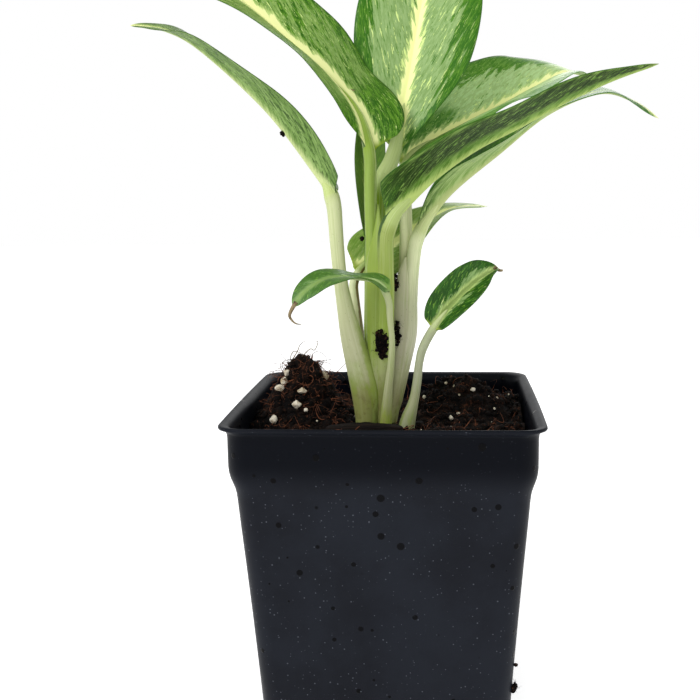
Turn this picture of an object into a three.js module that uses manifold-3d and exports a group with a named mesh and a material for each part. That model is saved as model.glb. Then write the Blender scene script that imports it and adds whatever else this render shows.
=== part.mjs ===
// A potted Chinese evergreen: a square black nursery pot, its potting soil and one plant of ten leaves.
// Millimetres, +Z up, +X to the right, +Y to the back. The origin is the centre of the pot's base.
// Every leaf is a stalk and a blade. A blade is an arc bent about its midrib, so it can be folded,
// cupped and rolled along its length.

import * as THREE from 'three';
import { ParametricGeometry } from 'three/addons/geometries/ParametricGeometry.js';
import { mergeVertices } from 'three/addons/utils/BufferGeometryUtils.js';
import Module from 'manifold-3d';

const wasm = await Module();
wasm.setup();

// Pot: a flared square box with a stepped collar and a thin lip
const potHeight = 98;
const lipHalf = 51;
const lipThickness = 1.5;
const collarHalf = 48.6;
const collarBottom = 82;
const bodyTop = 75;
const bodyTopHalf = 46.6;
const baseHalf = 41;
const wall = 1.2;
const cornerRadius = 7;
const arcPoints = 5;
const drainRadius = 4;
const drainOffset = 27;

// Soil: a heap at the left and a low ridge at the back right, above a flat level inside the rim
const gap = 0.3;
const soilLevel = 88.5;
const soilSteps = 40;
const soilRings = 9;
const mounds = [
  { x: -28, y: 5, height: 20, reach: 7 },
  { x: -38, y: 2, height: 8, reach: 6 },
  { x: 20, y: 21, height: 10, reach: 8 },
  { x: 38, y: 20, height: 7, reach: 9 },
  { x: 32, y: 9, height: 4, reach: 7 },
  { x: -3, y: 2, height: 1.2, reach: 9 },
];
const ripple = { height: 0.7, lengthX: 19, lengthY: 23 };

// Plant
const stemFoot = 62;
const stemTop = 91;
const stemRadius = 5.5;
const bladeThickness = 1;
const stalkSides = 10;
const stalkStations = 14;
const bladeSections = 12;
const bladeStations = 14;

// Leaf blades. The midrib is a route of points in order from the stalk to the tip. The heading is the way
// the leaf points, in degrees from +X. Roll, fold and curl are in degrees, and their values are spread
// evenly from the stalk to the tip: roll turns the blade about its midrib, fold lifts each half from the
// flat, and curl bends each half between the midrib and the margin. ends sets how fast the blade widens
// from the stalk and narrows to the tip.
const blades = {
  blade_left: {
    heading: 175, halfWidth: 12.5, ends: [0.55, 0.85], roll: [-8, -5, 0, 15],
    fold: { left: [45, 42, 15, 0], right: [26, 13, 9, 36] }, curl: { left: -10, right: -10 },
    midrib: [[-18, 0, 168], [-23.5, 1, 176], [-40.5, 4, 197.5], [-63, 8, 218], [-76, 9, 225.5],
      [-89.5, 10, 228]],
  },
  blade_upper_left: {
    heading: 170, halfWidth: 22, ends: [0.55, 0.8], roll: [-2, -7, 7, 50],
    fold: { left: [-25, -12, 5, -30], right: [68, 32, 47, 60] }, curl: { left: 0, right: 0 },
    midrib: [[-5, -3, 182.3], [-8.7, -4, 195], [-17.5, -5, 207], [-31, -4, 219], [-55.5, 0, 239],
      [-88, 5, 254]],
  },
  blade_upright: {
    heading: 80, halfWidth: 23, ends: [0.9, 0.7], roll: [4, -7, -9],
    fold: { left: [33], right: [22] }, curl: { left: -20, right: -20 },
    midrib: [[3, 9, 182.5], [5.4, 14.5, 197.5], [8, 21.5, 212.5], [11, 29.5, 231.5], [15, 38, 250.5],
      [22.5, 48, 274]],
  },
  blade_right_front: {
    heading: -8, halfWidth: 16, ends: [0.5, 0.9], roll: [0],
    fold: { left: [32, 22, 20, 28], right: [67, 27, 25, 33] }, curl: { left: 0, right: 0 },
    midrib: [[1.1, -9.7, 158.5], [8.5, -11, 166.5], [17.5, -12, 174.5], [29.5, -14, 182.5],
      [44, -16, 189.5], [58, -18, 196.5], [72, -19, 202.5], [86, -20, 207]],
  },
  blade_right_back: {
    heading: 35, halfWidth: 21, ends: [0.6, 0.85], roll: [-2, 1, -14],
    fold: { left: [77, 66, -3], right: [11] }, curl: { left: -10, right: -10 },
    midrib: [[4.8, 13, 178.6], [12.5, 18.5, 185.3], [27, 25.5, 193], [40, 32.5, 199.5], [52, 38, 206],
      [64.5, 43, 211.5], [76.5, 47, 209]],
  },
  blade_right_lower: {
    heading: 8, halfWidth: 13, ends: [0.45, 0.9], roll: [5, -3, 0, -12],
    fold: { left: [60, 16, 15, 5], right: [72, 23, 2, -16] }, curl: { left: 0, right: -15 },
    midrib: [[10.5, 2, 154], [20.5, 3.5, 168], [38.5, 6, 182.5], [55, 9, 195], [72.5, 12, 201.5],
      [84, 13, 198.5], [93, 14, 192.5]],
  },
  blade_behind_right: {
    heading: 10, halfWidth: 12, ends: [0.35, 0.9], roll: [-80, -45, -15, -10],
    fold: { left: [5], right: [12] }, curl: { left: 0, right: 0 },
    midrib: [[-12, 12, 141.5], [2, 16, 151], [20, 18, 162], [35, 18, 163.5]],
  },
  blade_behind_upright: {
    heading: 90, halfWidth: 9, ends: [0.6, 0.9], roll: [-30, -10, 10],
    fold: { left: [55], right: [45] }, curl: { left: 0, right: 0 },
    midrib: [[-7, 13, 148.5], [-7.5, 15, 161], [-8, 20, 179], [-6, 27, 198.5], [-3.5, 36, 214]],
  },
  blade_small_right: {
    heading: 15, halfWidth: 8.2, ends: [0.4, 0.6], roll: [-65, -72, -45],
    fold: { left: [19], right: [50] }, curl: { left: 0, right: 0 },
    midrib: [[16, -9, 123], [21, -8, 130], [27.5, -6, 136.5], [33, -4, 140.5], [38, -3, 143]],
  },
  blade_small_left: {
    heading: 195, halfWidth: 6.4, ends: [0.35, 0.6], roll: [38, 2, 30, 53],
    fold: { left: [5], right: [8] }, curl: { left: 0, right: 0 },
    midrib: [[2, -16, 137.2], [-3, -17, 140.5], [-9, -18, 141.5], [-14.5, -20, 142], [-20, -22, 141],
      [-25.5, -24, 137.5], [-29, -26, 133]],
  },
};

// Leaf stalks, the innermost first. Each is a route from the crown to its blade, with radii spread evenly
// along it. The lower end is wide, where the stalk sheathes the stem. The radii are those seen from the
// front, and a flattened sheath has depths of its own from front to back.
const stalks = {
  stalk_upper_left: {
    radii: [2.2, 2.3, 2.2, 2.1, 2.1],
    route: [[-6, -2, 92], [-5.5, -2.5, 104], [-5.8, -3, 116], [-5.5, -3, 132.5], [-5, -3, 149.5],
      [-5.2, -3, 166.5], [-5, -3, 182]],
  },
  stalk_upright: {
    radii: [2.2, 2.2, 2.1, 2, 1.9],
    route: [[-1, 1, 92], [-2, 2, 114.5], [-1.5, 3, 132], [-2, 4, 149], [-2.2, 5, 163], [-1.4, 6.2, 172.5],
      [2.6, 8.7, 182]],
  },
  stalk_right_front: {
    radii: [2.6, 2.7, 2.75, 2.7, 2.9],
    route: [[-1.5, -6, 92], [-1, -6.5, 104], [-0.6, -7, 116], [0.1, -8, 133], [0.1, -8, 143],
      [0.1, -8.5, 152], [0.8, -9.5, 158]],
  },
  stalk_left: {
    radii: [4, 4.8, 4.5, 3.9, 3, 2.4, 2.4, 2.5, 2.7],
    depths: [2.8, 2.8, 2.6, 2.4, 2.2, 2.1, 2.1, 2.2, 2.4],
    route: [[-7, -7, 92], [-7.5, -7, 101], [-9.5, -6.5, 110], [-12, -5.5, 120], [-14, -4.5, 129],
      [-15.7, -3.5, 139], [-16.8, -2, 149.5], [-17.5, -1, 160], [-18, 0, 167.5]],
  },
  stalk_right_lower: {
    radii: [2.6, 2.6, 2.5, 2.4, 2.4],
    route: [[0.5, -2, 92], [2.5, -2, 97.5], [5.3, -2, 109.5], [7.7, -1, 120.5], [8, 0, 132],
      [8.5, 0.5, 140.5], [9.3, 1, 148], [10.3, 2, 153.5]],
  },
  stalk_right_back: {
    radii: [2.3, 2.3, 2.2, 2.2, 2],
    route: [[0.5, 3, 92], [2, 2.5, 100], [4.5, 2.8, 118], [5.3, 3, 132], [6.3, 5, 149], [6.4, 7.5, 159.5],
      [5.9, 10.2, 169.5], [4.8, 12.7, 178]],
  },
  stalk_behind_upright: {
    radii: [2, 2, 1.8, 1.7],
    route: [[-6, 4, 92], [-7, 8, 113.5], [-7, 11, 131], [-7, 12.9, 148]],
  },
  stalk_behind_right: {
    radii: [1.9, 1.9, 1.7, 1.6],
    route: [[-8, 5, 88], [-9.5, 4.5, 110], [-10.7, 5, 122], [-12, 8, 131.5], [-12.5, 10.5, 137],
      [-12, 12, 141]],
  },
  stalk_small_left: {
    radii: [2.3, 2, 1.5, 1.2, 1, 1.05, 1.2],
    route: [[-0.5, -12.5, 84], [0, -13, 93.5], [0.8, -14, 103], [1.8, -14.6, 111.5], [2.3, -15, 120],
      [1.6, -15, 129], [1.9, -15.8, 136.7]],
  },
  stalk_small_right: {
    radii: [2.9, 2.7, 1.7, 1.5, 1.4, 1.5, 1.5],
    route: [[5.5, -11, 82], [7, -11, 91], [9.3, -11, 99], [10.5, -11, 106], [11.2, -10.8, 112],
      [12.5, -10.3, 117], [15.6, -9.1, 122.7]],
  },
};

// White grains in the soil: centre and half sizes
const grains = [
  { at: [-35.7, 0.8, 106.4], half: [1.1, 1.1, 1.3] },
  { at: [-36.6, -0.9, 103.8], half: [1.3, 1.2, 1.25] },
  { at: [-38, -1.6, 101.5], half: [1.9, 1.4, 1.2] },
  { at: [-23, 3.3, 104.6], half: [1.9, 1.7, 1.6] },
  { at: [-29.9, -3.6, 100.8], half: [1.4, 1.2, 0.95] },
  { at: [-31.6, -6.1, 96.6], half: [1.4, 1.2, 1.3] },
  { at: [-39.4, -8.5, 91.7], half: [1.25, 1.2, 1.5] },
  { at: [29.9, 11.3, 98.5], half: [0.95, 0.9, 0.8] },
];

// Strip of bark lying in front of the crown
const bark = { centre: [-7, -20.5, 90.6], length: 26, width: 6, thickness: 2, turn: -4, bend: 2 };

const colours = {
  pot: { color: '#24252b', roughness: 0.45, metalness: 0 },
  soil: { color: '#3a271d', roughness: 0.95, metalness: 0 },
  grain: { color: '#e6e1d6', roughness: 0.9, metalness: 0 },
  bark: { color: '#5b4030', roughness: 0.9, metalness: 0 },
  stem: { color: '#b9b88c', roughness: 0.6, metalness: 0 },
  stalk: { color: '#c9d3a2', roughness: 0.45, metalness: 0 },
  blade: { color: '#4f7f3c', roughness: 0.4, metalness: 0 },
};

const plant = new THREE.Group();

function toSolid(geometry) {
  geometry.deleteAttribute('normal');
  geometry.deleteAttribute('uv');
  const merged = mergeVertices(geometry, 1e-4);
  const corners = Array.from(merged.index.array);
  const kept = [];
  for (let i = 0; i < corners.length; i += 3) {
    const [a, b, c] = corners.slice(i, i + 3);
    if (a !== b && b !== c && c !== a) kept.push(a, b, c);
  }
  const vertProperties = merged.attributes.position.array;
  const triVerts = Uint32Array.from(kept);
  return new wasm.Manifold(new wasm.Mesh({ numProp: 3, vertProperties, triVerts }));
}

function addPiece(name, solid, colour) {
  const mesh = solid.getMesh();
  const geometry = new THREE.BufferGeometry();
  geometry.setAttribute('position', new THREE.BufferAttribute(mesh.vertProperties, 3));
  geometry.setIndex(new THREE.BufferAttribute(mesh.triVerts, 1));
  geometry.computeVertexNormals();
  const piece = new THREE.Mesh(geometry, new THREE.MeshStandardMaterial(colours[colour]));
  piece.name = name;
  plant.add(piece);
}

function largestOf(solid) {
  return solid.decompose().sort((a, b) => b.volume() - a.volume())[0];
}

function curveThrough(points) {
  return new THREE.CatmullRomCurve3(points.map((p) => new THREE.Vector3(...p)), false, 'catmullrom', 0.5);
}

// Value at t of numbers spread evenly over 0 to 1, on the same kind of curve as the routes
function spread(values, t) {
  if (values.length === 1) return values[0];
  return curveThrough(values.map((value) => [value, 0, 0])).getPoint(t).x;
}

// Rounded square ring: whole steps of turn fall on the corner arcs, so the sides stay straight
function squareRing(turn, half, corner, target) {
  const step = Math.round(turn * 4 * arcPoints) % (4 * arcPoints);
  const quarter = Math.floor(step / arcPoints);
  const angle = (quarter + (step % arcPoints) / (arcPoints - 1)) * Math.PI / 2;
  const middle = (quarter + 0.5) * Math.PI / 2;
  const reach = (half - corner) * Math.SQRT2;
  target.x = reach * Math.cos(middle) + corner * Math.cos(angle);
  target.y = reach * Math.sin(middle) + corner * Math.sin(angle);
}

function pot() {
  const rim = potHeight - lipThickness;
  const profile = [
    [0, 0], [baseHalf, 0], [bodyTopHalf, bodyTop], [collarHalf, collarBottom], [collarHalf, rim - 1],
    [lipHalf, rim], [lipHalf, potHeight], [collarHalf, potHeight], [collarHalf - wall, rim],
    [collarHalf - wall, collarBottom], [bodyTopHalf - wall, bodyTop], [baseHalf - wall, wall], [0, wall],
  ];
  const skin = (turn, along, target) => {
    const [half, height] = profile[Math.round(along * (profile.length - 1))];
    squareRing(turn, half, Math.min(half, cornerRadius), target);
    target.z = height;
    if (half === 0) target.set(0, 0, height);
  };
  let solid = toSolid(new ParametricGeometry(skin, 4 * arcPoints, profile.length - 1));
  for (const [x, y] of [[1, 1], [-1, 1], [-1, -1], [1, -1]]) {
    const drain = new THREE.CylinderGeometry(drainRadius, drainRadius, 4 * wall, 16);
    drain.rotateX(Math.PI / 2).translate(x * drainOffset, y * drainOffset, 0);
    solid = solid.subtract(toSolid(drain));
  }
  return solid;
}

// Half width of the pot's inside at a height
function insideHalf(z) {
  if (z >= collarBottom) return collarHalf - wall;
  if (z >= bodyTop) {
    return bodyTopHalf - wall + (collarHalf - bodyTopHalf) * (z - bodyTop) / (collarBottom - bodyTop);
  }
  return baseHalf - wall + (bodyTopHalf - baseHalf) * (z - wall) / (bodyTop - wall);
}

function soilHeight(x, y) {
  let height = soilLevel;
  for (const mound of mounds) {
    const square = (x - mound.x) ** 2 + (y - mound.y) ** 2;
    height += mound.height * Math.exp(-square / (2 * mound.reach ** 2));
  }
  const across = Math.sin(2 * Math.PI * x / ripple.lengthX + 1);
  return height + ripple.height * across * Math.cos(2 * Math.PI * y / ripple.lengthY);
}

// Distance from the middle of a square with cut corners to its edge, in one direction
function squareReach(angle, half) {
  const across = Math.max(Math.abs(Math.cos(angle)), Math.abs(Math.sin(angle)));
  const diagonal = Math.abs(Math.cos(angle)) + Math.abs(Math.sin(angle));
  return Math.min(half / across, (2 * half - 0.8 * cornerRadius) / diagonal);
}

// Soil: the pot's inside, less a gap, up to the uneven top
function soil() {
  const floor = wall + gap;
  const levels = [floor, bodyTop, collarBottom + gap];
  const rows = 2 + levels.length + soilRings;
  const skin = (turn, along, target) => {
    const row = Math.round(along * (rows - 1));
    const angle = turn * 2 * Math.PI;
    const wallRow = row - 1;
    const side = row > 0 && wallRow < levels.length;
    const inner = row === 0 ? 0 : 1 - Math.max(0, wallRow - levels.length) / soilRings;
    const half = insideHalf(side ? levels[wallRow] : soilLevel) - gap;
    const reach = inner * squareReach(angle, half);
    target.set(reach * Math.cos(angle), reach * Math.sin(angle), side ? levels[wallRow] : floor);
    if (row > levels.length) target.z = soilHeight(target.x, target.y);
  };
  return toSolid(new ParametricGeometry(skin, soilSteps, rows - 1));
}

function grain({ at, half }, index, grow) {
  const shape = new THREE.IcosahedronGeometry(1, 1);
  shape.scale(half[0] + grow, half[1] + grow, half[2] + grow);
  shape.rotateZ(index * 1.3).rotateX(index * 0.7);
  shape.translate(...at);
  return toSolid(shape);
}

// Bark: a slightly bent strip with pointed ends
function barkStrip(grow) {
  const half = bark.length / 2 + grow;
  const outline = new THREE.Shape();
  outline.moveTo(-half, 0);
  outline.quadraticCurveTo(-half / 2, bark.width / 2 + grow + bark.bend, half * 0.8, bark.width / 2 + grow);
  outline.lineTo(half, 0);
  outline.quadraticCurveTo(half / 3, -bark.width / 2 - grow + bark.bend, -half * 0.7, -bark.width / 2 - grow);
  outline.closePath();
  const thickness = bark.thickness + 2 * grow;
  const extrusion = { depth: thickness, bevelEnabled: false, curveSegments: 5 };
  const shape = new THREE.ExtrudeGeometry(outline, extrusion);
  shape.translate(0, 0, -thickness / 2).rotateX(0.15).rotateZ(THREE.MathUtils.degToRad(bark.turn));
  shape.translate(...bark.centre);
  return toSolid(shape);
}

// Stem: short and upright, rounded at both ends, with its lower half in the soil
function stem(grow) {
  const radius = stemRadius + grow;
  const profile = [
    [0, stemFoot - grow], [radius * 0.6, stemFoot - grow], [radius, stemFoot + 4], [radius, stemTop - 2],
    [radius * 0.8, stemTop + grow], [0, stemTop + grow],
  ];
  const shape = new THREE.LatheGeometry(profile.map(([r, z]) => new THREE.Vector2(r, z)), 16);
  shape.rotateX(Math.PI / 2);
  shape.translate(-2.5, 0, 0);
  return toSolid(shape);
}

// Stalk: a tube of changing radius along a route, closed at both ends
function stalk({ route, radii, depths = radii }, grow) {
  const curve = curveThrough(route);
  const across = new THREE.Vector3(1, 0, 0);
  const skin = (turn, along, target) => {
    const station = Math.round(along * (stalkStations + 2)) - 1;
    const t = THREE.MathUtils.clamp(station / stalkStations, 0, 1);
    const tangent = curve.getTangent(t);
    const side = across.clone().addScaledVector(tangent, -across.dot(tangent)).normalize();
    const front = new THREE.Vector3().crossVectors(tangent, side);
    curve.getPoint(t, target);
    target.addScaledVector(tangent, Math.sign(2 * t - 1) * (t === 0 || t === 1 ? grow : 0));
    if (station < 0 || station > stalkStations) return;
    target.addScaledVector(side, (spread(radii, t) + grow) * Math.cos(turn * 2 * Math.PI));
    target.addScaledVector(front, (spread(depths, t) + grow) * Math.sin(turn * 2 * Math.PI));
  };
  return toSolid(new ParametricGeometry(skin, stalkSides, stalkStations + 2));
}

// Blade frame at t: the midrib's direction, the way to the right half and the way out of the upper face
function bladeFrame(blade, curve, t) {
  const heading = THREE.MathUtils.degToRad(blade.heading);
  const roll = THREE.MathUtils.degToRad(spread(blade.roll, t));
  const tangent = curve.getTangent(t);
  const level = new THREE.Vector3(Math.sin(heading), -Math.cos(heading), 0);
  level.addScaledVector(tangent, -level.dot(tangent)).normalize();
  const lift = new THREE.Vector3().crossVectors(level, tangent);
  const right = level.clone().multiplyScalar(Math.cos(roll)).addScaledVector(lift, Math.sin(roll));
  const out = lift.multiplyScalar(Math.cos(roll)).addScaledVector(level, -Math.sin(roll));
  return { right, out };
}

// Half width at t: (t / peak)^a ((1 - t) / (1 - peak))^b, widest at peak = a / (a + b)
function halfWidthAt({ ends, halfWidth }, t) {
  const [a, b] = ends;
  const peak = a / (a + b);
  return halfWidth * (t / peak) ** a * ((1 - t) / (1 - peak)) ** b;
}

// Blade: each section is a thin almond bent along an arc. An arc that starts at the fold angle and turns by
// the curl over the half width w is at ((sin(f + ks) - sin f) / k, (cos f - cos(f + ks)) / k), k = curl / w.
function blade(shape, grow) {
  const curve = curveThrough(shape.midrib);
  const skin = (turn, along, target) => {
    curve.getPoint(along, target);
    const width = halfWidthAt(shape, along);
    if (width < 1e-6) return;
    const across = Math.cos(turn * 2 * Math.PI);
    const sign = Math.abs(across) < 1e-9 ? 0 : Math.sign(across);
    const half = sign < 0 ? 'left' : 'right';
    const { right, out } = bladeFrame(shape, curve, along);
    const fold = THREE.MathUtils.degToRad(spread(shape.fold[half], along));
    const curl = THREE.MathUtils.degToRad(shape.curl[half]) || 1e-4;
    const bend = curl / width;
    const distance = Math.abs(across) * (width + grow);
    const angle = fold + bend * distance;
    const reach = (Math.sin(angle) - Math.sin(fold)) / bend;
    const rise = (Math.cos(fold) - Math.cos(angle)) / bend;
    const skinOffset = (bladeThickness / 2 + grow) * Math.sin(-turn * 2 * Math.PI) * Math.min(1, width / 4);
    target.addScaledVector(right, sign * (reach - skinOffset * Math.sin(angle)));
    target.addScaledVector(out, rise + skinOffset * (sign === 0 ? 1 : Math.cos(angle)));
  };
  return toSolid(new ParametricGeometry(skin, bladeSections, bladeStations));
}

// Pieces in the order in which they give way: each is cut back, with a gap, from those before it
const placed = [];

function place(name, make, colour) {
  let solid = make(0);
  for (const earlier of placed) {
    if (!solid.intersect(earlier).isEmpty()) solid = largestOf(solid.subtract(earlier));
  }
  placed.push(make(gap));
  addPiece(name, solid, colour);
}

place('stem_base', stem, 'stem');
for (const [name, shape] of Object.entries(stalks)) {
  place(name, (grow) => stalk(shape, grow), 'stalk');
}
for (const [name, shape] of Object.entries(blades)) {
  place(name, (grow) => blade(shape, grow), 'blade');
}
place('bark_strip', barkStrip, 'bark');
grains.forEach((shape, index) => {
  place(`perlite_${index + 1}`, (grow) => grain(shape, index, grow), 'grain');
});
place('potting_soil', soil, 'soil');
addPiece('pot', pot(), 'pot');

export default plant;
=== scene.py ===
# A potted Chinese evergreen: the looks of a square nursery pot, its soil and one plant of ten leaves.
# Lengths are in millimetres in the tables and formulas below, and become metres in makeMesh.
import math

import bmesh
import bpy
import numpy as np
from mathutils import Matrix


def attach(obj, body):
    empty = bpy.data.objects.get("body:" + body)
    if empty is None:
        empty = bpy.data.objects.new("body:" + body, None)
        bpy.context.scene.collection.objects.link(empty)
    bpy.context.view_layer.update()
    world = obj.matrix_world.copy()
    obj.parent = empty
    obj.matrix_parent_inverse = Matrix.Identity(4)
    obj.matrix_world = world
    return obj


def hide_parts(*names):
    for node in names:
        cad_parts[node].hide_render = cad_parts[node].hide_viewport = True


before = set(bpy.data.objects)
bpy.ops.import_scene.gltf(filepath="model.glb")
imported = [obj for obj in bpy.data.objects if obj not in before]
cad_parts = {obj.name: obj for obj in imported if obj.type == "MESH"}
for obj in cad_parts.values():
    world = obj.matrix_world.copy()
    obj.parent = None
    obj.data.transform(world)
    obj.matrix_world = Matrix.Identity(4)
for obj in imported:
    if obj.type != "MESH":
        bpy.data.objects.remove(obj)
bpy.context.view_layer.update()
print("frame loaded:", len(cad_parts), "nodes")


def smooth(low, high, value):
    # 0 below low, 1 above high, and a smooth step between
    t = np.clip((value - low) / (high - low), 0, 1)
    return t * t * (3 - 2 * t)


def hermite(w, first, last, leave, arrive):
    # cubic from first to last as w goes from 0 to 1, with the slopes leave and arrive at its ends
    return ((2 * w**3 - 3 * w**2 + 1) * first + (w**3 - 2 * w**2 + w) * leave
            + (3 * w**2 - 2 * w**3) * last + (w**3 - w**2) * arrive)


def curveAt(points, t):
    # uniform Catmull-Rom curve through points spread evenly over t = 0 to 1; single numbers work too
    nodes = np.asarray(points, float)
    if nodes.ndim == 1:
        nodes = nodes[:, None]
    if len(nodes) == 1:
        return np.repeat(nodes, len(t), 0)
    nodes = np.vstack([2 * nodes[0] - nodes[1], nodes, 2 * nodes[-1] - nodes[-2]])
    place = np.clip(t, 0, 1) * (len(nodes) - 3)
    start = np.minimum(place.astype(int), len(nodes) - 4)
    before, first, second, after = (nodes[start + k] for k in range(4))
    return hermite((place - start)[:, None], first, second, (second - before) / 2, (after - first) / 2)


def numberAt(values, t):
    return curveAt(values, t)[:, 0]


def unit(vectors):
    return vectors / np.maximum(np.linalg.norm(vectors, axis=-1, keepdims=True), 1e-12)


def lengthsAlong(path):
    # the distance travelled from the start of a path to each of its points
    return np.concatenate([[0], np.cumsum(np.linalg.norm(np.diff(path, axis=0), axis=1))])


def circle(sides):
    return np.linspace(0, 2 * np.pi, sides, endpoint=False)


def noiseAt(points, cell, seed):
    # value noise from -1 to 1: random numbers on a grid of cells, blended by smooth steps between them
    table = np.random.default_rng(seed).uniform(-1, 1, 8192)
    scaled = np.asarray(points, float) / cell
    base = np.floor(scaled).astype(np.int64)
    w = smooth(0, 1, scaled - base)
    total = 0
    for corner in np.ndindex(2, 2, 2):
        key = ((base + corner) * (73856093, 19349663, 83492791)).sum(-1) % len(table)
        total = total + np.prod(np.where(corner, w, 1 - w), axis=-1) * table[key]
    return total


def loft(rings):
    # closed skin: rings of points joined by four-sided faces, with a fan of triangles at each end
    count, around = rings.shape[:2]
    index = np.arange(count * around).reshape(count, around)
    beside = np.roll(index, -1, axis=1)
    quads = np.stack([index[:-1], beside[:-1], beside[1:], index[1:]], -1).reshape(-1, 4)
    footFan = np.stack([beside[0], index[0], np.full(around, count * around)], -1)
    headFan = np.stack([index[-1], beside[-1], np.full(around, count * around + 1)], -1)
    return withEnds(rings), [quads, footFan, headFan]


def withEnds(grid):
    # a value for each ring point, followed by the values of the middles of the two end rings
    flat = grid.reshape(-1, *grid.shape[2:])
    return np.concatenate([flat, [grid[0].mean(0)], [grid[-1].mean(0)]])


def signedVolume(points, faces):
    total = 0
    for group in faces:
        a = points[group[:, 0]]
        for k in range(1, group.shape[1] - 1):
            total += (a * np.cross(points[group[:, k]], points[group[:, k + 1]])).sum()
    return total / 6


def addObject(name, data):
    thing = bpy.data.objects.new(name, data)
    bpy.context.scene.collection.objects.link(thing)
    return thing


def makeMesh(name, points, faces, paints, values=None, faceKinds=None):
    # faces are arrays of three or four corners; they are turned to point outwards
    if signedVolume(points, faces) < 0:
        faces = [group[:, ::-1] for group in faces]
    mesh = bpy.data.meshes.new(name)
    mesh.from_pydata((points / 1000).tolist(), [], [face for group in faces for face in group.tolist()])
    for key, array in (values or {}).items():
        kind, field = ("FLOAT", "value") if array.ndim == 1 else ("FLOAT_VECTOR", "vector")
        mesh.attributes.new(key, kind, "POINT").data.foreach_set(field, array.astype(np.float32).ravel())
    for paint in paints:
        mesh.materials.append(paint)
    if faceKinds is not None:
        mesh.polygons.foreach_set("material_index", faceKinds.astype(np.int32))
    mesh.polygons.foreach_set("use_smooth", np.ones(len(mesh.polygons), bool))
    mesh.update()
    return addObject(name, mesh)


def finishPiece(piece, slotName, *nodes):
    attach(piece, "root")
    if nodes:
        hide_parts(*nodes)


def finishParts(name, parts, paint, slotName):
    # one piece made of many closed skins
    finishPiece(makeMesh(name, *joinParts(parts), [paint]), slotName)


def joinParts(parts):
    points = np.vstack([part[0] for part in parts])
    offsets = np.cumsum([0] + [len(part[0]) for part in parts[:-1]])
    faces = [group + offset for (_, groups), offset in zip(parts, offsets) for group in groups]
    return points, faces


def tubeRings(path, radii, depths, sides, across=(1, 0, 0)):
    # a section carried along a path, turned as little as possible from one station to the next
    tangent = unit(np.gradient(path, axis=0))
    side = np.zeros_like(path)
    current = np.array(across, float)
    for k in range(len(path)):
        current = current - tangent[k] * (current @ tangent[k])
        current /= np.linalg.norm(current)
        side[k] = current
    front = np.cross(tangent, side)
    reachX = radii[:, None] * np.cos(circle(sides))
    reachY = depths[:, None] * np.sin(circle(sides))
    return path[:, None] + reachX[..., None] * side[:, None] + reachY[..., None] * front[:, None]


def linear(colour):
    # an sRGB hex colour as linear red, green, blue and alpha
    parts = [int(colour[k:k + 2], 16) / 255 for k in (1, 3, 5)]
    return [c / 12.92 if c <= 0.04045 else ((c + 0.055) / 1.055) ** 2.4 for c in parts] + [1]


class Wire:
    # an output socket whose operators add Math nodes, so that shader maths reads as Python
    def __init__(self, paint, socket):
        self.paint = paint
        self.socket = socket

    def math(self, operation, *others):
        return self.paint.add("Math", {"operation": operation}, dict(enumerate((self,) + others)))

    def __add__(self, other):
        return self.math("ADD", other)

    def __sub__(self, other):
        return self.math("SUBTRACT", other)

    def __rsub__(self, other):
        return self.paint.add("Math", {"operation": "SUBTRACT"}, {0: other, 1: self})

    def __mul__(self, other):
        return self.math("MULTIPLY", other)

    def __truediv__(self, other):
        return self.math("DIVIDE", other)

    def __pow__(self, other):
        return self.math("POWER", other)

    def __abs__(self):
        return self.math("ABSOLUTE")

    __radd__ = __add__
    __rmul__ = __mul__

    def rise(self, low, high):
        # smooth step from 0 at low to 1 at high
        sockets = {"Value": self, "From Min": low, "From Max": high}
        return self.paint.add("MapRange", {"interpolation_type": "SMOOTHSTEP"}, sockets)

    def fall(self, low, high):
        return 1 - self.rise(low, high)


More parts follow.
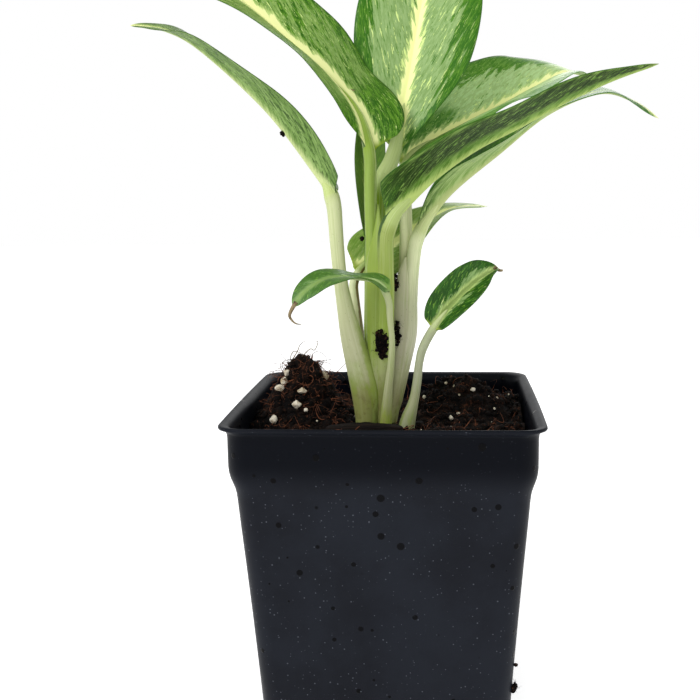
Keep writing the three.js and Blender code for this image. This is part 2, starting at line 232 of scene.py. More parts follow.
class Paint:
    # the nodes of a material or of the world; add puts in any node: its type, its settings and what its
    # sockets hold. ground lays the first two colours of a surface, and each coat one more over them.
    def __init__(self, owner, shaderName="Principled BSDF"):
        owner.use_nodes = True
        self.material = owner
        self.tree = owner.node_tree
        self.shader = self.tree.nodes[shaderName]

    def add(self, kind, settings=None, sockets=None, output=0):
        node = self.tree.nodes.new("ShaderNode" + kind)
        for key, value in (settings or {}).items():
            setattr(node, key, value)
        for key, value in (sockets or {}).items():
            self.put(node.inputs[key], value)
        return Wire(self, node.outputs[output])

    def put(self, socket, value):
        if isinstance(value, Wire):
            self.tree.links.new(value.socket, socket)
        else:
            socket.default_value = linear(value) if isinstance(value, str) else value

    def values(self, name):
        vector = self.add("Attribute", {"attribute_name": name}, output="Vector")
        return [self.add("SeparateXYZ", None, {0: vector}, k) for k in range(3)]

    def number(self, name):
        return self.add("Attribute", {"attribute_name": name}, output="Fac")

    def place(self):
        # object coordinates in millimetres
        coordinates = self.add("TexCoord", output="Object")
        return self.add("VectorMath", {"operation": "SCALE"}, {0: coordinates, "Scale": 1000})

    def noise(self, vector, scale=1.0, detail=3.0, rough=0.6):
        settings = {"Vector": vector, "Scale": scale, "Detail": detail, "Roughness": rough}
        return self.add("TexNoise", None, settings)

    def noiseAround(self, x, y, z, detail=3.0, rough=0.6):
        return self.noise(self.add("CombineXYZ", None, {0: x, 1: y, 2: z}), 1.0, detail, rough)

    def cells(self, vector, scale, output="Distance"):
        return self.add("TexVoronoi", None, {"Vector": vector, "Scale": scale}, output)

    def chances(self, vector, scale):
        # a random number from 0 to 1 for each cell
        return self.add("SeparateColor", None, {0: self.cells(vector, scale, "Color")})

    def blend(self, share, first, second):
        return self.add("Mix", {"data_type": "RGBA"}, {0: share, 6: first, 7: second}, 2)

    def ground(self, share, first, second):
        self.skin = self.blend(share, first, second)

    def coat(self, share, colour):
        self.skin = self.blend(share, self.skin, colour)

    def finish(self, height=None, depth=0.1, strength=1.0, roughness=None):
        # join the colours to the shader, with a bump whose depth is in millimetres and its own roughness
        self.put(self.shader.inputs["Base Color"], self.skin)
        if roughness is not None:
            self.put(self.shader.inputs["Roughness"], roughness)
        if height is not None:
            sockets = {"Height": height, "Distance": depth / 1000, "Strength": strength}
            self.put(self.shader.inputs["Normal"], self.add("Bump", None, sockets))
        return self.material


def newPaint(name, roughness, specular):
    paint = Paint(bpy.data.materials.new(name))
    paint.put(paint.shader.inputs["Roughness"], roughness)
    paint.put(paint.shader.inputs["Specular IOR Level"], specular)
    return paint


# Leaves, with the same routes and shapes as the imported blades: midrib points from the stalk to the tip, the
# heading of the leaf, and the roll, folds and curls of its left and right halves in degrees, spread evenly
# along it. ends shape its two ends. held is its half width where the stalk holds it, and rib is the depth of
# the midrib there, a little under the stalk's radius. ripple is the height and the number of the margin's
# waves. tapers are the shares of the length over which each half narrows to a point at the stalk. face and
# back are the changes from faceLook and backLook.
leafShapes = {
    "left": {
        "heading": 175, "halfWidth": 12.5, "ends": (0.55, 0.85), "held": 2.4, "rib": 1.5,
        "roll": (-8, -5, 0, 15), "folds": ((45, 42, 15, 0), (26, 13, 9, 36)), "curls": (-10, -10),
        "ripple": (0.5, 3), "tapers": (0.1, 0.04),
        "midrib": ((-18, 0, 168), (-23.5, 1, 176), (-40.5, 4, 197.5), (-63, 8, 218), (-76, 9, 225.5),
                   (-89.5, 10, 228)),
        "face": {"deep": "#4e6e2a", "mid": "#5f7f38", "silver": "#7c9a58", "dull": "#688544", "band": 0.5,
                 "bandTip": 0.2, "feather": 0.5, "flecks": 0.25},
        "back": {"field": "#5c7c38", "light": "#7f9c58", "pale": "#c2ce90", "band": 0.8,
                 "dark": "#2c4818"},
    },
    "upper_left": {
        "heading": 170, "halfWidth": 22, "ends": (0.55, 0.8), "held": 1.9, "rib": 1.8,
        "roll": (-2, -7, 7, 50), "folds": ((-25, -12, 5, -30), (68, 32, 47, 60)), "ripple": (0.6, 2.5),
        "tapers": (0.45, 0.05),
        "midrib": ((-5, -3, 182.3), (-8.7, -4, 195), (-17.5, -5, 207), (-31, -4, 219), (-55.5, 0, 239),
                   (-88, 5, 254)),
        "face": {"band": 3.4, "bandTip": 1, "silverAmount": 0.55, "silverReach": 0.9, "flecks": 0.6,
                 "speckle": 0.4, "deep": "#2c6004", "mid": "#5e9024", "fresh": "#90b44c",
                 # its throat colour is painted shade down the midrib's groove
                 "throatShade": "#8aa32c", "throatEnd": 0.55, "pale": "#ecf0a8", "silver": "#86a654",
                 "dull": "#688c3c", "short": 3, "silverFrom": 0.26},
    },
    "upright": {
        "heading": 80, "halfWidth": 23, "ends": (0.9, 0.7), "held": 1.7, "rib": 1.6, "roll": (4, -7, -9),
        "folds": ((33,), (22,)), "curls": (-20, -20), "ripple": (0.5, 2),
        "midrib": ((3, 9, 182.5), (5.4, 14.5, 197.5), (8, 21.5, 212.5), (11, 29.5, 231.5), (15, 38, 250.5),
                   (22.5, 48, 274)),
        "face": {"band": 2.3, "silverAmount": 0.9, "silverReach": 0.7, "flecks": 0.8, "feather": 1.9,
                 "silver": "#92b070", "dull": "#7f9f5c", "light": "#a4c282"},
    },
    "right_front": {
        "heading": -8, "halfWidth": 16, "ends": (0.5, 0.9), "held": 2.3, "rib": 1.4, "roll": (0,),
        "folds": ((32, 22, 20, 28), (67, 27, 25, 33)), "ripple": (0.4, 3), "tapers": (0.06, 0.12),
        "midrib": ((1.1, -9.7, 158.5), (8.5, -11, 166.5), (17.5, -12, 174.5), (29.5, -14, 182.5),
                   (44, -16, 189.5), (58, -18, 196.5), (72, -19, 202.5), (86, -20, 207)),
        # its underside stripe is very dark: mottling deepened with painted shade where the near half curves
        # down
        "back": {"darkAmount": 0.82, "darkFrom": 0.3, "field": "#4a7022", "dark": "#12240c",
                 "light": "#769648", "pale": "#acc06c"},
    },
    "right_back": {
        "heading": 35, "halfWidth": 21, "ends": (0.6, 0.85), "held": 1.8, "rib": 1.6, "roll": (-2, 1, -14),
        "folds": ((77, 66, -3), (11,)), "curls": (-10, -10), "ripple": (0.6, 3),
        "midrib": ((4.8, 13, 178.6), (12.5, 18.5, 185.3), (27, 25.5, 193), (40, 32.5, 199.5), (52, 38, 206),
                   (64.5, 43, 211.5), (76.5, 47, 209)),
        "face": {"band": 1.6, "silverAmount": 0.95, "flecks": 0.6, "speckle": 0.5,
                 "short": 2.4, "silverFrom": 0.26, "deep": "#44801a", "mid": "#6a9c3a", "silver": "#b6d694",
                 "dull": "#a4c47e", "light": "#c4da9c"},
    },
    "right_lower": {
        "heading": 8, "halfWidth": 13, "ends": (0.45, 0.9), "held": 2.2, "rib": 1.4,
        "roll": (5, -3, 0, -12), "folds": ((60, 16, 15, 5), (72, 23, 2, -16)), "curls": (0, -15),
        "ripple": (0.3, 3), "tapers": (0.22, 0.22),
        "midrib": ((10.5, 2, 154), (20.5, 3.5, 168), (38.5, 6, 182.5), (55, 9, 195), (72.5, 12, 201.5),
                   (84, 13, 198.5), (93, 14, 192.5)),
        "face": {"silverAmount": 0.1, "flecks": 0.2, "deep": "#2c640a", "mid": "#3a7414"},
        "back": {"field": "#76964a", "light": "#9cb470", "darkAmount": 0.25, "darkFrom": 0.6, "darkTo": 1,
                 "pale": "#b0bc7c", "bandBase": 1},
    },
    "behind_right": {
        "heading": 10, "halfWidth": 12, "ends": (0.35, 0.9), "held": 1.4, "rib": 1.2,
        "roll": (-80, -45, -15, -10), "folds": ((5,), (12,)), "ripple": (0.3, 2),
        "midrib": ((-12, 12, 141.5), (2, 16, 151), (20, 18, 162), (35, 18, 163.5)),
        "face": {"silverAmount": 0.2, "deep": "#7a9c44", "mid": "#96b05e"},
        "back": {"field": "#7f9c4c", "darkAmount": 0.2},
    },
    "behind_upright": {
        "heading": 90, "halfWidth": 9, "ends": (0.6, 0.9), "held": 1.5, "rib": 1.2, "roll": (-30, -10, 10),
        "folds": ((55,), (45,)), "ripple": (0.3, 2),
        "midrib": ((-7, 13, 148.5), (-7.5, 15, 161), (-8, 20, 179), (-6, 27, 198.5), (-3.5, 36, 214)),
        "face": {"silverAmount": 0.2, "deep": "#648a3c", "mid": "#709444"},
        "back": {"field": "#6c9040", "light": "#7ea24e", "pale": "#84a452"},
    },
    "small_right": {
        "heading": 15, "halfWidth": 8.2, "ends": (0.4, 0.6), "held": 1.3, "rib": 1.1,
        "roll": (-65, -72, -45), "folds": ((19,), (50,)), "ripple": (0.25, 4),
        "midrib": ((16, -9, 123), (21, -8, 130), (27.5, -6, 136.5), (33, -4, 140.5), (38, -3, 143)),
        "face": {"band": 0.9, "bandTip": 0.4, "silverAmount": 0.6, "silverReach": 0.4, "feather": 0.7,
                 "flecks": 0.3, "speckle": 0, "deep": "#1c4606", "mid": "#2e5e16", "silver": "#5c7e3e",
                 "light": "#7c9e5a", "pale": "#8ca25c"},
    },
    "small_left": {
        "heading": 195, "halfWidth": 6.4, "ends": (0.35, 0.6), "held": 1.2, "rib": 1,
        "roll": (38, 2, 30, 53), "folds": ((5,), (8,)), "ripple": (0.2, 3),
        "midrib": ((2, -16, 137.2), (-3, -17, 140.5), (-9, -18, 141.5), (-14.5, -20, 142), (-20, -22, 141),
                   (-25.5, -24, 137.5), (-29, -26, 133)),
        "face": {"band": 0.1, "bandTip": 0.1, "silverAmount": 0.35, "silverReach": 0.5, "feather": 0.3,
                 "flecks": 0.3, "deep": "#3f6824", "mid": "#4e7830", "silver": "#64884a",
                 "light": "#7c9c5c", "dull": "#507434", "pale": "#7f9c50", "throatShade": "#7f9c50",
                 "fleck": "#9cb870"},
    },
}

sheet = {
    "stations": 150,        # along the midrib
    "steps": 44,            # from margin to margin, on each face
    "crowd": 1.4,           # above 1 draws the steps towards the midrib
    "thickness": 0.5,
    "margin": 0.16,         # thickness at the margin
    "groove": 0.45,         # depth of the channel over the midrib
    "grooveReach": 1.1,
    "veinSlope": 1.6,       # how far a side vein runs forward for each step outward
    "veinBend": 0.035,
}


def leafFrames(shape, t):
    # at each t the midrib point, the way to the right half and the way out of the upper face
    step = 1e-3
    point = curveAt(shape["midrib"], t)
    ahead = curveAt(shape["midrib"], np.clip(t + step, 0, 1))
    behind = curveAt(shape["midrib"], np.clip(t - step, 0, 1))
    tangent = unit(ahead - behind)
    heading = math.radians(shape["heading"])
    level = np.array([math.sin(heading), -math.cos(heading), 0])
    level = unit(level - (tangent @ level)[:, None] * tangent)
    lift = np.cross(level, tangent)
    roll = np.radians(numberAt(shape["roll"], t))[:, None]
    return point, np.cos(roll) * level + np.sin(roll) * lift, np.cos(roll) * lift - np.sin(roll) * level


def widthAt(shape, t, v):
    # half width (t / peak)^a ((1 - t) / (1 - peak))^b, widest at peak = a / (a + b), narrowed towards the
    # stalk by the taper of the side of v, and never less there than what the stalk holds
    a, b = shape["ends"]
    peak = a / (a + b)
    half = (shape["halfWidth"] * (t / peak) ** a * ((1 - t) / (1 - peak)) ** b)[:, None]
    left, right = (np.clip(t / taper, 0, 1)[:, None] ** 0.8 for taper in shape.get("tapers", (0.04, 0.04)))
    held = shape["held"] * (1 - smooth(0, 0.25, t))[:, None]
    return np.sqrt((half * np.where(v[None] < 0, left, right)) ** 2 + held**2)


def leafPoints(shape, t, v):
    # the blade's middle surface and its upward normal: each half is an arc that leaves the midrib at its
    # fold angle and turns by its curl before the margin, at v = -1 on the left and 1 on the right
    point, right, out = leafFrames(shape, t)
    width = widthAt(shape, t, v)
    leftHalf = v[None] < 0
    start = np.radians(np.where(leftHalf, *(numberAt(fold, t)[:, None] for fold in shape["folds"])))
    curl = np.where(leftHalf, *(curl or 0.01 for curl in shape.get("curls", (0, 0))))
    bend = np.radians(curl) / width
    angle = start + bend * np.abs(v)[None] * width
    reach = np.sign(v)[None] * (np.sin(angle) - np.sin(start)) / bend
    rise = (np.cos(start) - np.cos(angle)) / bend
    wave, waves = shape["ripple"]
    ripple = np.sin(2 * np.pi * (waves * t[:, None] + 0.3 * leftHalf))
    rise = rise + wave * ripple * v[None] ** 2 * smooth(0, 6, width)
    middle = point[:, None] + reach[..., None] * right[:, None] + rise[..., None] * out[:, None]
    lean = np.sign(v)[None] * np.sin(angle) * smooth(0, 0.05, np.abs(v))[None]
    normal = unit(np.cos(angle)[..., None] * out[:, None] - lean[..., None] * right[:, None])
    return middle, normal


def ribDepth(shape, t):
    # how far the midrib stands out below the blade
    return shape["rib"] * (1 - t) ** 1.1


def makeBlade(name, shape, facePaint, backPaint):
    # a rounded sheet round the middle surface, thin at the margin, with a groove over the midrib and a
    # bell-shaped swelling below it
    t = np.linspace(0.002, 0.998, sheet["stations"])
    even = np.linspace(-1, 1, sheet["steps"] + 1)
    v = np.sign(even) * np.abs(even) ** sheet["crowd"]
    middle, normal = leafPoints(shape, t, v)
    width = widthAt(shape, t, v)
    off = v[None] * width
    half = sheet["margin"] / 2 + (sheet["thickness"] - sheet["margin"]) / 2 * (1 - np.abs(v)[None] ** 5)
    half = half * smooth(-0.3, 2, width)
    groove = sheet["groove"] * np.exp(-(off / sheet["grooveReach"]) ** 2)
    groove = groove * (1 - t[:, None]) * smooth(0, 5, width)
    rib = ribDepth(shape, t)[:, None]
    swell = rib * np.exp(-(off / (0.5 + 1.1 * rib)) ** 2) * smooth(0, 2, width)
    upper = middle + (half - groove)[..., None] * normal
    lower = middle - (half + swell)[..., None] * normal
    rings = np.concatenate([upper, lower[:, ::-1]], axis=1)
    points, faces = loft(rings)
    along = lengthsAlong(curveAt(shape["midrib"], t))[:, None] + 0 * off
    grid = np.stack([along, off, np.abs(v)[None] + 0 * off], -1)
    values = withEnds(np.concatenate([grid, grid[:, ::-1]], axis=1))
    ends = withEnds(np.repeat(t[:, None, None], rings.shape[1], axis=1))[:, 0]
    isBack = np.arange(rings.shape[1]) > sheet["steps"]
    kinds = np.concatenate([np.tile(isBack, len(t) - 1), isBack, isBack])
    piece = makeMesh(name, points, faces, [facePaint, backPaint], {"leaf": values, "leafEnds": ends}, kinds)
    finishPiece(piece, "blade", name)


# The upper face. band and bandTip are the half widths of the pale stripe at the stalk and at the tip, and
# feather is how far its barbs reach. The silver field lies inside silverReach and starts at silverFrom along
# the leaf, and silverAmount is its share there. flecks is the share of pale dashes, speckle that of small
# pale spots, and throatEnd is where the green line down the stripe, painted shade in the midrib's groove,
# ends. short above 1 shortens the streaks.
faceLook = {
    "deep": "#2f660e", "mid": "#4a7c1e", "fresh": "#7fae3c", "dull": "#86a464", "silver": "#96b377",
    "light": "#a8c486", "pale": "#fbffb4", "fleck": "#d8ec94", "throatShade": "#a3b850",
    "band": 2.0, "bandTip": 0.6, "feather": 1.5, "silverAmount": 0.85, "silverReach": 0.62,
    "flecks": 0.5, "speckle": 0.2, "throatEnd": 0.2, "silverFrom": 0.05, "short": 1.6,
}
# The underside: a mottled dark stripe, the leaf's own mottling deepened with painted shade where the half
# curves over, lies from darkFrom to darkTo, counted from the midrib to the margin.
# band is the half width of the pale stripe under the midrib, and bandBase what it gains at the stalk.
backLook = {
    "field": "#6b8c42", "light": "#93ad68", "dark": "#3c5c24", "edge": "#345420", "fresh": "#6f9c30",
    "pale": "#c6d49a", "band": 1.3, "bandBase": 2.0, "fray": 2.5,
    "darkAmount": 0.4, "darkFrom": 0.2, "darkTo": 0.9,
}


def veinPattern(paint, seed):
    # where a point lies on its side vein: vein is the same all along one vein, away is the distance out
    along, off, edge = paint.values("leaf")
    away = abs(off)
    half = off.rise(-0.01, 0.01) * 37
    vein = along - away * sheet["veinSlope"] - away * away * sheet["veinBend"]

    def streaks(acrossVeins, alongVeins, shift, detail=3.0, rough=0.6):
        return paint.noiseAround(vein * acrossVeins, away * alongVeins, half + (seed + shift), detail, rough)

    return away, edge, paint.number("leafEnds"), streaks


def makeFacePaint(name, look, seed):
    paint = newPaint(name + "_face", 0.38, 0.2)
    away, edge, ends, streaks = veinPattern(paint, seed)
    short = look["short"]
    broad = streaks(0.14, 0.09, 0, 2)
    fine = streaks(1, 0.6 * short, 5, 3, 0.62)
    lines = streaks(2.6, 0.09, 7, 2)
    patchy = streaks(0.4, 0.28 * short, 9, 4, 0.65)
    dashes = streaks(0.45, 0.26 * short, 13)
    spots = streaks(1.1, 0.8 * short, 19, 2, 0.5)
    # silvery field
    paint.ground(patchy.rise(0.44, 0.56), look["dull"], look["silver"])
    paint.coat(fine.rise(0.52, 0.68) * 0.5, look["light"])
    paint.coat(fine.rise(0.4, 0.32) * 0.4, look["dull"])
    silver = paint.skin
    # deep green ground with lighter mottling, in streaks along the side veins
    paint.ground(patchy.rise(0.46, 0.58), look["deep"], look["mid"])
    paint.coat(fine.rise(0.56, 0.66) * 0.7, look["fresh"])
    paint.coat(fine.rise(0.42, 0.34) * 0.6, look["deep"])
    # the silver lies inside a jagged edge, in patches
    jagged = edge + (broad - 0.5) * 0.9 + (patchy - 0.5) * 0.5 + (fine - 0.5) * 0.15
    inside = jagged.fall(look["silverReach"] - 0.015, look["silverReach"] + 0.015)
    patchAt = 0.66 - 0.36 * look["silverAmount"]
    patches = streaks(0.24, 0.16, 23, 4, 0.7).rise(patchAt, patchAt + 0.03)
    reach = ends.fall(0.85, 0.97) * (ends + (broad - 0.5) * 0.3 - look["silverFrom"]).rise(0, 0.07)
    paint.coat(inside * patches * reach, silver)
    paint.coat(dashes.rise(0.4, 0.35) * inside * 0.75, look["mid"])
    # yellow-green flecks, more of them beside the pale stripe, and finer specks
    fleckAt = 0.74 - 0.16 * look["flecks"] - away.fall(1.5, 7) * 0.05
    paint.coat((dashes - fleckAt).rise(0, 0.03) * (inside * 0.6 + 0.35), look["fleck"])
    spotAt = 0.74 - 0.17 * look["speckle"]
    paint.coat(spots.rise(spotAt, spotAt + 0.05) * 0.8, look["fleck"])
    # the pale stripe over the midrib, with barbs that run out along the side veins
    barbs = (streaks(0.3, 0.11, 21, 3, 0.55) - 0.44) * 3.6 * look["feather"]
    stripe = away - barbs * (0.5 + patchy) - (fine - 0.5) * 0.7
    past = stripe - ((1 - ends) * (look["band"] - look["bandTip"]) + look["bandTip"])
    paint.coat(past.fall(0.3, 1.5) * 0.5, look["fleck"])
    paint.coat(past.fall(-0.2, 0.35), look["pale"])
    # painted shade in the midrib's groove: a yellow-green line down the pale stripe near the stalk, and the
    # same colour over the very base of the blade
    throatShade = ends.fall(0.08, look["throatEnd"]) * away.fall(0.3, 1.6)
    paint.coat(1 - (1 - throatShade) * ends.rise(0.015, 0.06), look["throatShade"])
    paint.coat((lines - 0.5) * 0.25, look["light"])
    paint.coat(edge.rise(0.975, 0.995) * 0.6, look["deep"])
    return paint.finish(lines + fine * 0.5, 0.1, 0.6, 0.38 + (fine - 0.5) * 0.2)


def makeBackPaint(name, look, seed):
    paint = newPaint(name + "_back", 0.5, 0.08)
    away, edge, ends, streaks = veinPattern(paint, seed)
    fine = streaks(1.1, 0.5, 3, 4, 0.7)
    lines = streaks(2.4, 0.07, 5, 2)
    broad = streaks(0.2, 0.16, 7, 4, 0.65)
    spots = streaks(0.5, 0.7, 11, 3, 0.65)
    paint.ground((broad + (fine - 0.5) * 0.5).rise(0.4, 0.6), look["field"], look["light"])
    # the dark stripe is the leaf's own mottling deepened with painted shade where the half curves over
    darkAt = 0.62 - 0.3 * look["darkAmount"]
    mottleAndShade = (spots + (fine - 0.5) * 0.3).rise(darkAt, darkAt + 0.09)
    soft = edge + (broad - 0.5) * 0.4
    darkFrom, darkTo = look["darkFrom"], look["darkTo"]
    middle = soft.rise(darkFrom - 0.12, darkFrom + 0.08) * soft.fall(darkTo - 0.06, darkTo + 0.12)
    paint.coat(mottleAndShade * middle * 0.9, look["dark"])
    atBase = (ends + (broad - 0.5) * 0.2).fall(0.06, 0.22) * edge.rise(0.3, 0.55)
    paint.coat(atBase * spots.rise(0.36, 0.46), look["edge"])
    paint.coat(atBase * fine.rise(0.56, 0.64), look["fresh"])
    paint.coat(lines.rise(0.52, 0.7) * 0.5, look["light"])
    paint.coat(fine.rise(0.6, 0.7) * 0.5, look["light"])
    bandHalf = (1 - ends) * look["band"] + ends.fall(0, 0.3) * look["bandBase"] + 0.15
    paint.coat((away - (fine - 0.5) * look["fray"] - bandHalf).fall(-1.2, 1.4), look["pale"])
    paint.coat(edge.rise(0.96, 0.985) * 0.85, look["edge"])
    return paint.finish(lines + fine * 0.4, 0.12, 0.7, 0.48 + (fine - 0.5) * 0.2)


for number, (leafName, leafShape) in enumerate(leafShapes.items()):
    bladeName = "blade_" + leafName
    seed = 3 + 4 * number
    faceLayers = makeFacePaint(bladeName, {**faceLook, **leafShape.get("face", {})}, seed)
    backLayers = makeBackPaint(bladeName, {**backLook, **leafShape.get("back", {})}, seed + 1)
    makeBlade(bladeName, leafShape, faceLayers, backLayers)
print("blades made")


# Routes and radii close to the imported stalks', from the crown to the blade. colours are those at the crown,
# a little above it, at the blade and where the stalk runs on under the blade, over the first share, runOn,
# of its length. fade is where the second colour gives way to the third. A streak is a stripe of colour down
# one side: its place and half width round the stalk, as shares of a turn, and where it starts and is full,
# as shares of the length. green is the share of yellow-green clouds at the crown.
stalkShapes = {
    "upper_left": {
        "slot": "stalk_green", "colours": ("#7e8448", "#8fa63c", "#869f46", "#84a034"),
        "streak": (0.97, 0.09, 0.6, 0.95, "#bccb84"), "runOn": 0.38, "radii": (2.2, 2.3, 2.2, 2.1, 2.1),
        "route": ((-6, -2, 92), (-5.5, -2.5, 104), (-5.8, -3, 116), (-5.5, -3, 132.5), (-5, -3, 149.5),
                  (-5.2, -3, 166.5), (-5, -3, 182)),
    },
    "upright": {
        "slot": "stalk_green", "colours": ("#7e8448", "#64820c", "#ccdc94", "#c4d48c"),
        "fade": (0.72, 0.92), "radii": (2.2, 2.2, 2.1, 2.3, 3.1, 2.7),
        "route": ((-1, 1, 92), (-2, 2, 114.5), (-1.5, 3, 132), (-2, 4, 149), (-2.6, 5, 163),
                  (-1.8, 6.2, 172.5), (1.6, 8.2, 180)),
    },
    "right_front": {
        "slot": "stalk_green", "colours": ("#7e8448", "#8fa63c", "#8c9c4c", "#a0b268"),
        "streak": (0.55, 0.1, 0.7, 0.95, "#33501e"), "radii": (2.6, 2.7, 2.75, 2.7, 2.9),
        "route": ((-1.5, -6, 92), (-1, -6.5, 104), (-0.6, -7, 116), (0.1, -8, 133), (0.1, -8, 143),
                  (0.1, -8.5, 152), (0.8, -9.5, 158)),
    },
    "left": {
        "slot": "stalk_pale", "colours": ("#868a4e", "#b6b890", "#c2c998", "#b8c67e"),
        "streak": (0.94, 0.12, 0.52, 0.3, "#92a254"), "radii": (4, 4.8, 4.5, 3.9, 3, 2.4, 2.4, 2.5, 2.7),
        "depths": (2.8, 2.8, 2.6, 2.4, 2.2, 2.1, 2.1, 2.2, 2.4),
        "route": ((-7, -7, 92), (-7.5, -7, 101), (-9.5, -6.5, 110), (-12, -5.5, 120), (-14, -4.5, 129),
                  (-15.7, -3.5, 139), (-16.8, -2, 149.5), (-17.5, -1, 160), (-18, 0, 167.5)),
    },
    "right_lower": {
        "slot": "stalk_pale", "colours": ("#8c8c62", "#cac8ae", "#d8deb0", "#bcc888"), "green": 0.1,
        "radii": (2.6, 2.6, 2.5, 2.4, 2.4),
        "route": ((0.5, -2, 92), (2.5, -2, 97.5), (5.3, -2, 109.5), (7.7, -1, 120.5), (8, 0, 132),
                  (8.5, 0.5, 140.5), (9.3, 1, 148), (10.3, 2, 153.5)),
    },
    "right_back": {
        "slot": "stalk_pale", "colours": ("#8c8c62", "#c8c8a0", "#e2e8b4", "#c0ce88"),
        "radii": (2.3, 2.3, 2.2, 2.2, 2),
        "route": ((0.5, 3, 92), (2, 2.5, 100), (4.5, 2.8, 118), (5.3, 3, 132), (6.3, 5, 149),
                  (6.4, 7.5, 159.5), (5.9, 10.2, 169.5), (4.8, 12.7, 178)),
    },
    "behind_upright": {
        "slot": "stalk_green", "colours": ("#858c48", "#8aa03c", "#6c8a40", "#5c7a38"),
        "radii": (2, 2, 1.8, 1.7), "route": ((-6, 4, 92), (-7, 8, 113.5), (-7, 11, 131), (-7, 12.9, 148)),
    },
    "behind_right": {
        "slot": "stalk_green", "colours": ("#8c8c62", "#c4c49c", "#ccd3a6", "#a8ba70"),
        "streak": (0.9, 0.07, 0.2, 0.5, "#7c6c40"), "radii": (1.9, 1.9, 1.7, 1.6),
        "route": ((-8, 5, 88), (-9.5, 4.5, 110), (-10.7, 5, 122), (-12, 8, 131.5), (-12.5, 10.5, 137),
                  (-12, 12, 141)),
    },
    "small_left": {
        "slot": "stalk_pale", "colours": ("#8c9a40", "#a0a478", "#a8b080", "#9cb474"),
        "radii": (2.3, 2, 1.5, 1.2, 1, 1.05, 1.2),
        "route": ((-0.5, -12.5, 84), (0, -13, 93.5), (0.8, -14, 103), (1.8, -14.6, 111.5), (2.3, -15, 120),
                  (1.6, -15, 129), (1.9, -15.8, 136.7)),
    },
    "small_right": {
        "slot": "stalk_pale", "colours": ("#949a76", "#a4a888", "#a6ac8c", "#b8c48c"),
        "radii": (2.9, 2.7, 1.7, 1.5, 1.4, 1.5, 1.5),
        "route": ((5.5, -11, 82), (7, -11, 91), (9.3, -11, 99), (10.5, -11, 106), (11.2, -10.8, 112),
                  (12.5, -10.3, 117), (15.6, -9.1, 122.7)),
    },
}

# leaf sheaths that wrap the stalks together above the crown; across is the way of the first radius
sheaths = {
    "sheath_front": {
        "colours": ("#7e8448", "#84993a", "#869d42", "#869d42"), "across": (0.83, -0.55, 0),
        "radii": (3, 3.5, 4.2, 4.8, 4.9, 4.3, 2, 0.3), "depths": (2.1, 2.2, 2.1, 2, 1.9, 1.6, 0.9, 0.3),
        "route": ((-3.6, -5.4, 90), (-3.4, -5.6, 102), (-3.3, -6.1, 114), (-3.1, -6.5, 126),
                  (-2.9, -6.6, 137), (-2.8, -6.3, 147), (-2.7, -5, 156), (-2.6, -3, 165)),
    },
    "sheath_right": {
        "colours": ("#8c8c62", "#b4b096", "#c8caa2", "#c8caa2"), "green": 0.1, "across": (1, 0, 0),
        "radii": (2.6, 2.9, 3.2, 3.4, 3.2, 2.4, 0.5), "depths": (2.2, 2.2, 2.1, 2, 1.8, 1.3, 0.3),
        "route": ((0.6, -5, 90), (2.2, -4.2, 100), (3.8, -3, 110), (4.9, -1.9, 120), (5.2, -1.3, 131),
                  (5.8, -0.6, 140), (6.6, 0.4, 147)),
    },
}
stalkMesh = {"stations": 90, "ribStations": 60, "sides": 32, "runOn": 0.24, "tip": 0.2, "bend": 7,
             "buried": 5}
stalkPaint = {"dry": "#a4a87c", "cloud": "#8fb04a", "ridge": "#dde2c0", "furrow": "#7c9040",
              "rust": "#6d6438", "green": "#7f9428", "speck": "#4c4a2a"}


def roundCorner(path, joint, reach):
    # swap the stretch within reach of the joint for a cubic curve that keeps the directions at its ends
    lengths = lengthsAlong(path)
    low = np.searchsorted(lengths, lengths[joint] - reach)
    high = min(np.searchsorted(lengths, lengths[joint] + reach), len(path) - 2)
    w = ((lengths[low:high + 1] - lengths[low]) / (lengths[high] - lengths[low]))[:, None]
    span = np.linalg.norm(path[high] - path[low])
    leave = unit(path[low] - path[low - 1]) * span
    arrive = unit(path[high + 1] - path[high]) * span
    path = path.copy()
    path[low:high + 1] = hermite(w, path[low], path[high], leave, arrive)
    return path


def stalkSkin(name, shape, path, wide, deep, lengths, share):
    # a tube along a path, with its length, the turn round it and its share of the route for the paint
    points, faces = loft(tubeRings(path, wide, deep, stalkMesh["sides"], shape.get("across", (1, 0, 0))))
    turn = np.linspace(0, 1, stalkMesh["sides"], endpoint=False)
    grid = np.stack(np.broadcast_arrays(lengths[:, None], turn[None], share[:, None]), -1)
    return makeMesh(name, points, faces, [makeStalkPaint(name, shape)], {"stalk": withEnds(grid)})


def makeStalk(leafName, shape):
    # a tube from below the soil to the blade, which runs on as a tapering rib sunk under the midrib
    blade = leafShapes[leafName]
    t = np.linspace(0, 1, stalkMesh["stations"])
    radii = numberAt(shape["radii"], t)
    depths = numberAt(shape.get("depths", shape["radii"]), t)
    runOn = shape.get("runOn", stalkMesh["runOn"])
    s = np.linspace(0.01, runOn, stalkMesh["ribStations"])
    point, _, out = leafFrames(blade, s)
    ribRadii = radii[-1] * (1 - s / runOn) ** 0.7 + stalkMesh["tip"] * s / runOn
    drop = ribDepth(blade, s) - ribRadii + 0.3 - 0.55 * s / runOn
    sunk = point - out * (drop * smooth(0.0, 0.08, s))[:, None]
    path = roundCorner(np.vstack([curveAt(shape["route"], t), sunk]), len(t), stalkMesh["bend"])
    path = np.vstack([path[:1] - np.array([[0, 0, stalkMesh["buried"]]]), path])
    wide = np.concatenate([radii[:1], radii, ribRadii])
    deep = np.concatenate([depths[:1], depths, ribRadii])
    share = np.concatenate([[0], t, 1 + s / runOn])
    name = "stalk_" + leafName
    finishPiece(stalkSkin(name, shape, path, wide, deep, lengthsAlong(path), share), shape["slot"], name)


def makeSheath(name, shape):
    t = np.linspace(0, 1, stalkMesh["stations"])
    path = curveAt(shape["route"], t)
    length = path[:, 2] - path[0, 2] + stalkMesh["buried"]
    radii, depths = numberAt(shape["radii"], t), numberAt(shape["depths"], t)
    finishPiece(stalkSkin(name, shape, path, radii, depths, length, 0.8 * t), "stalk_green")


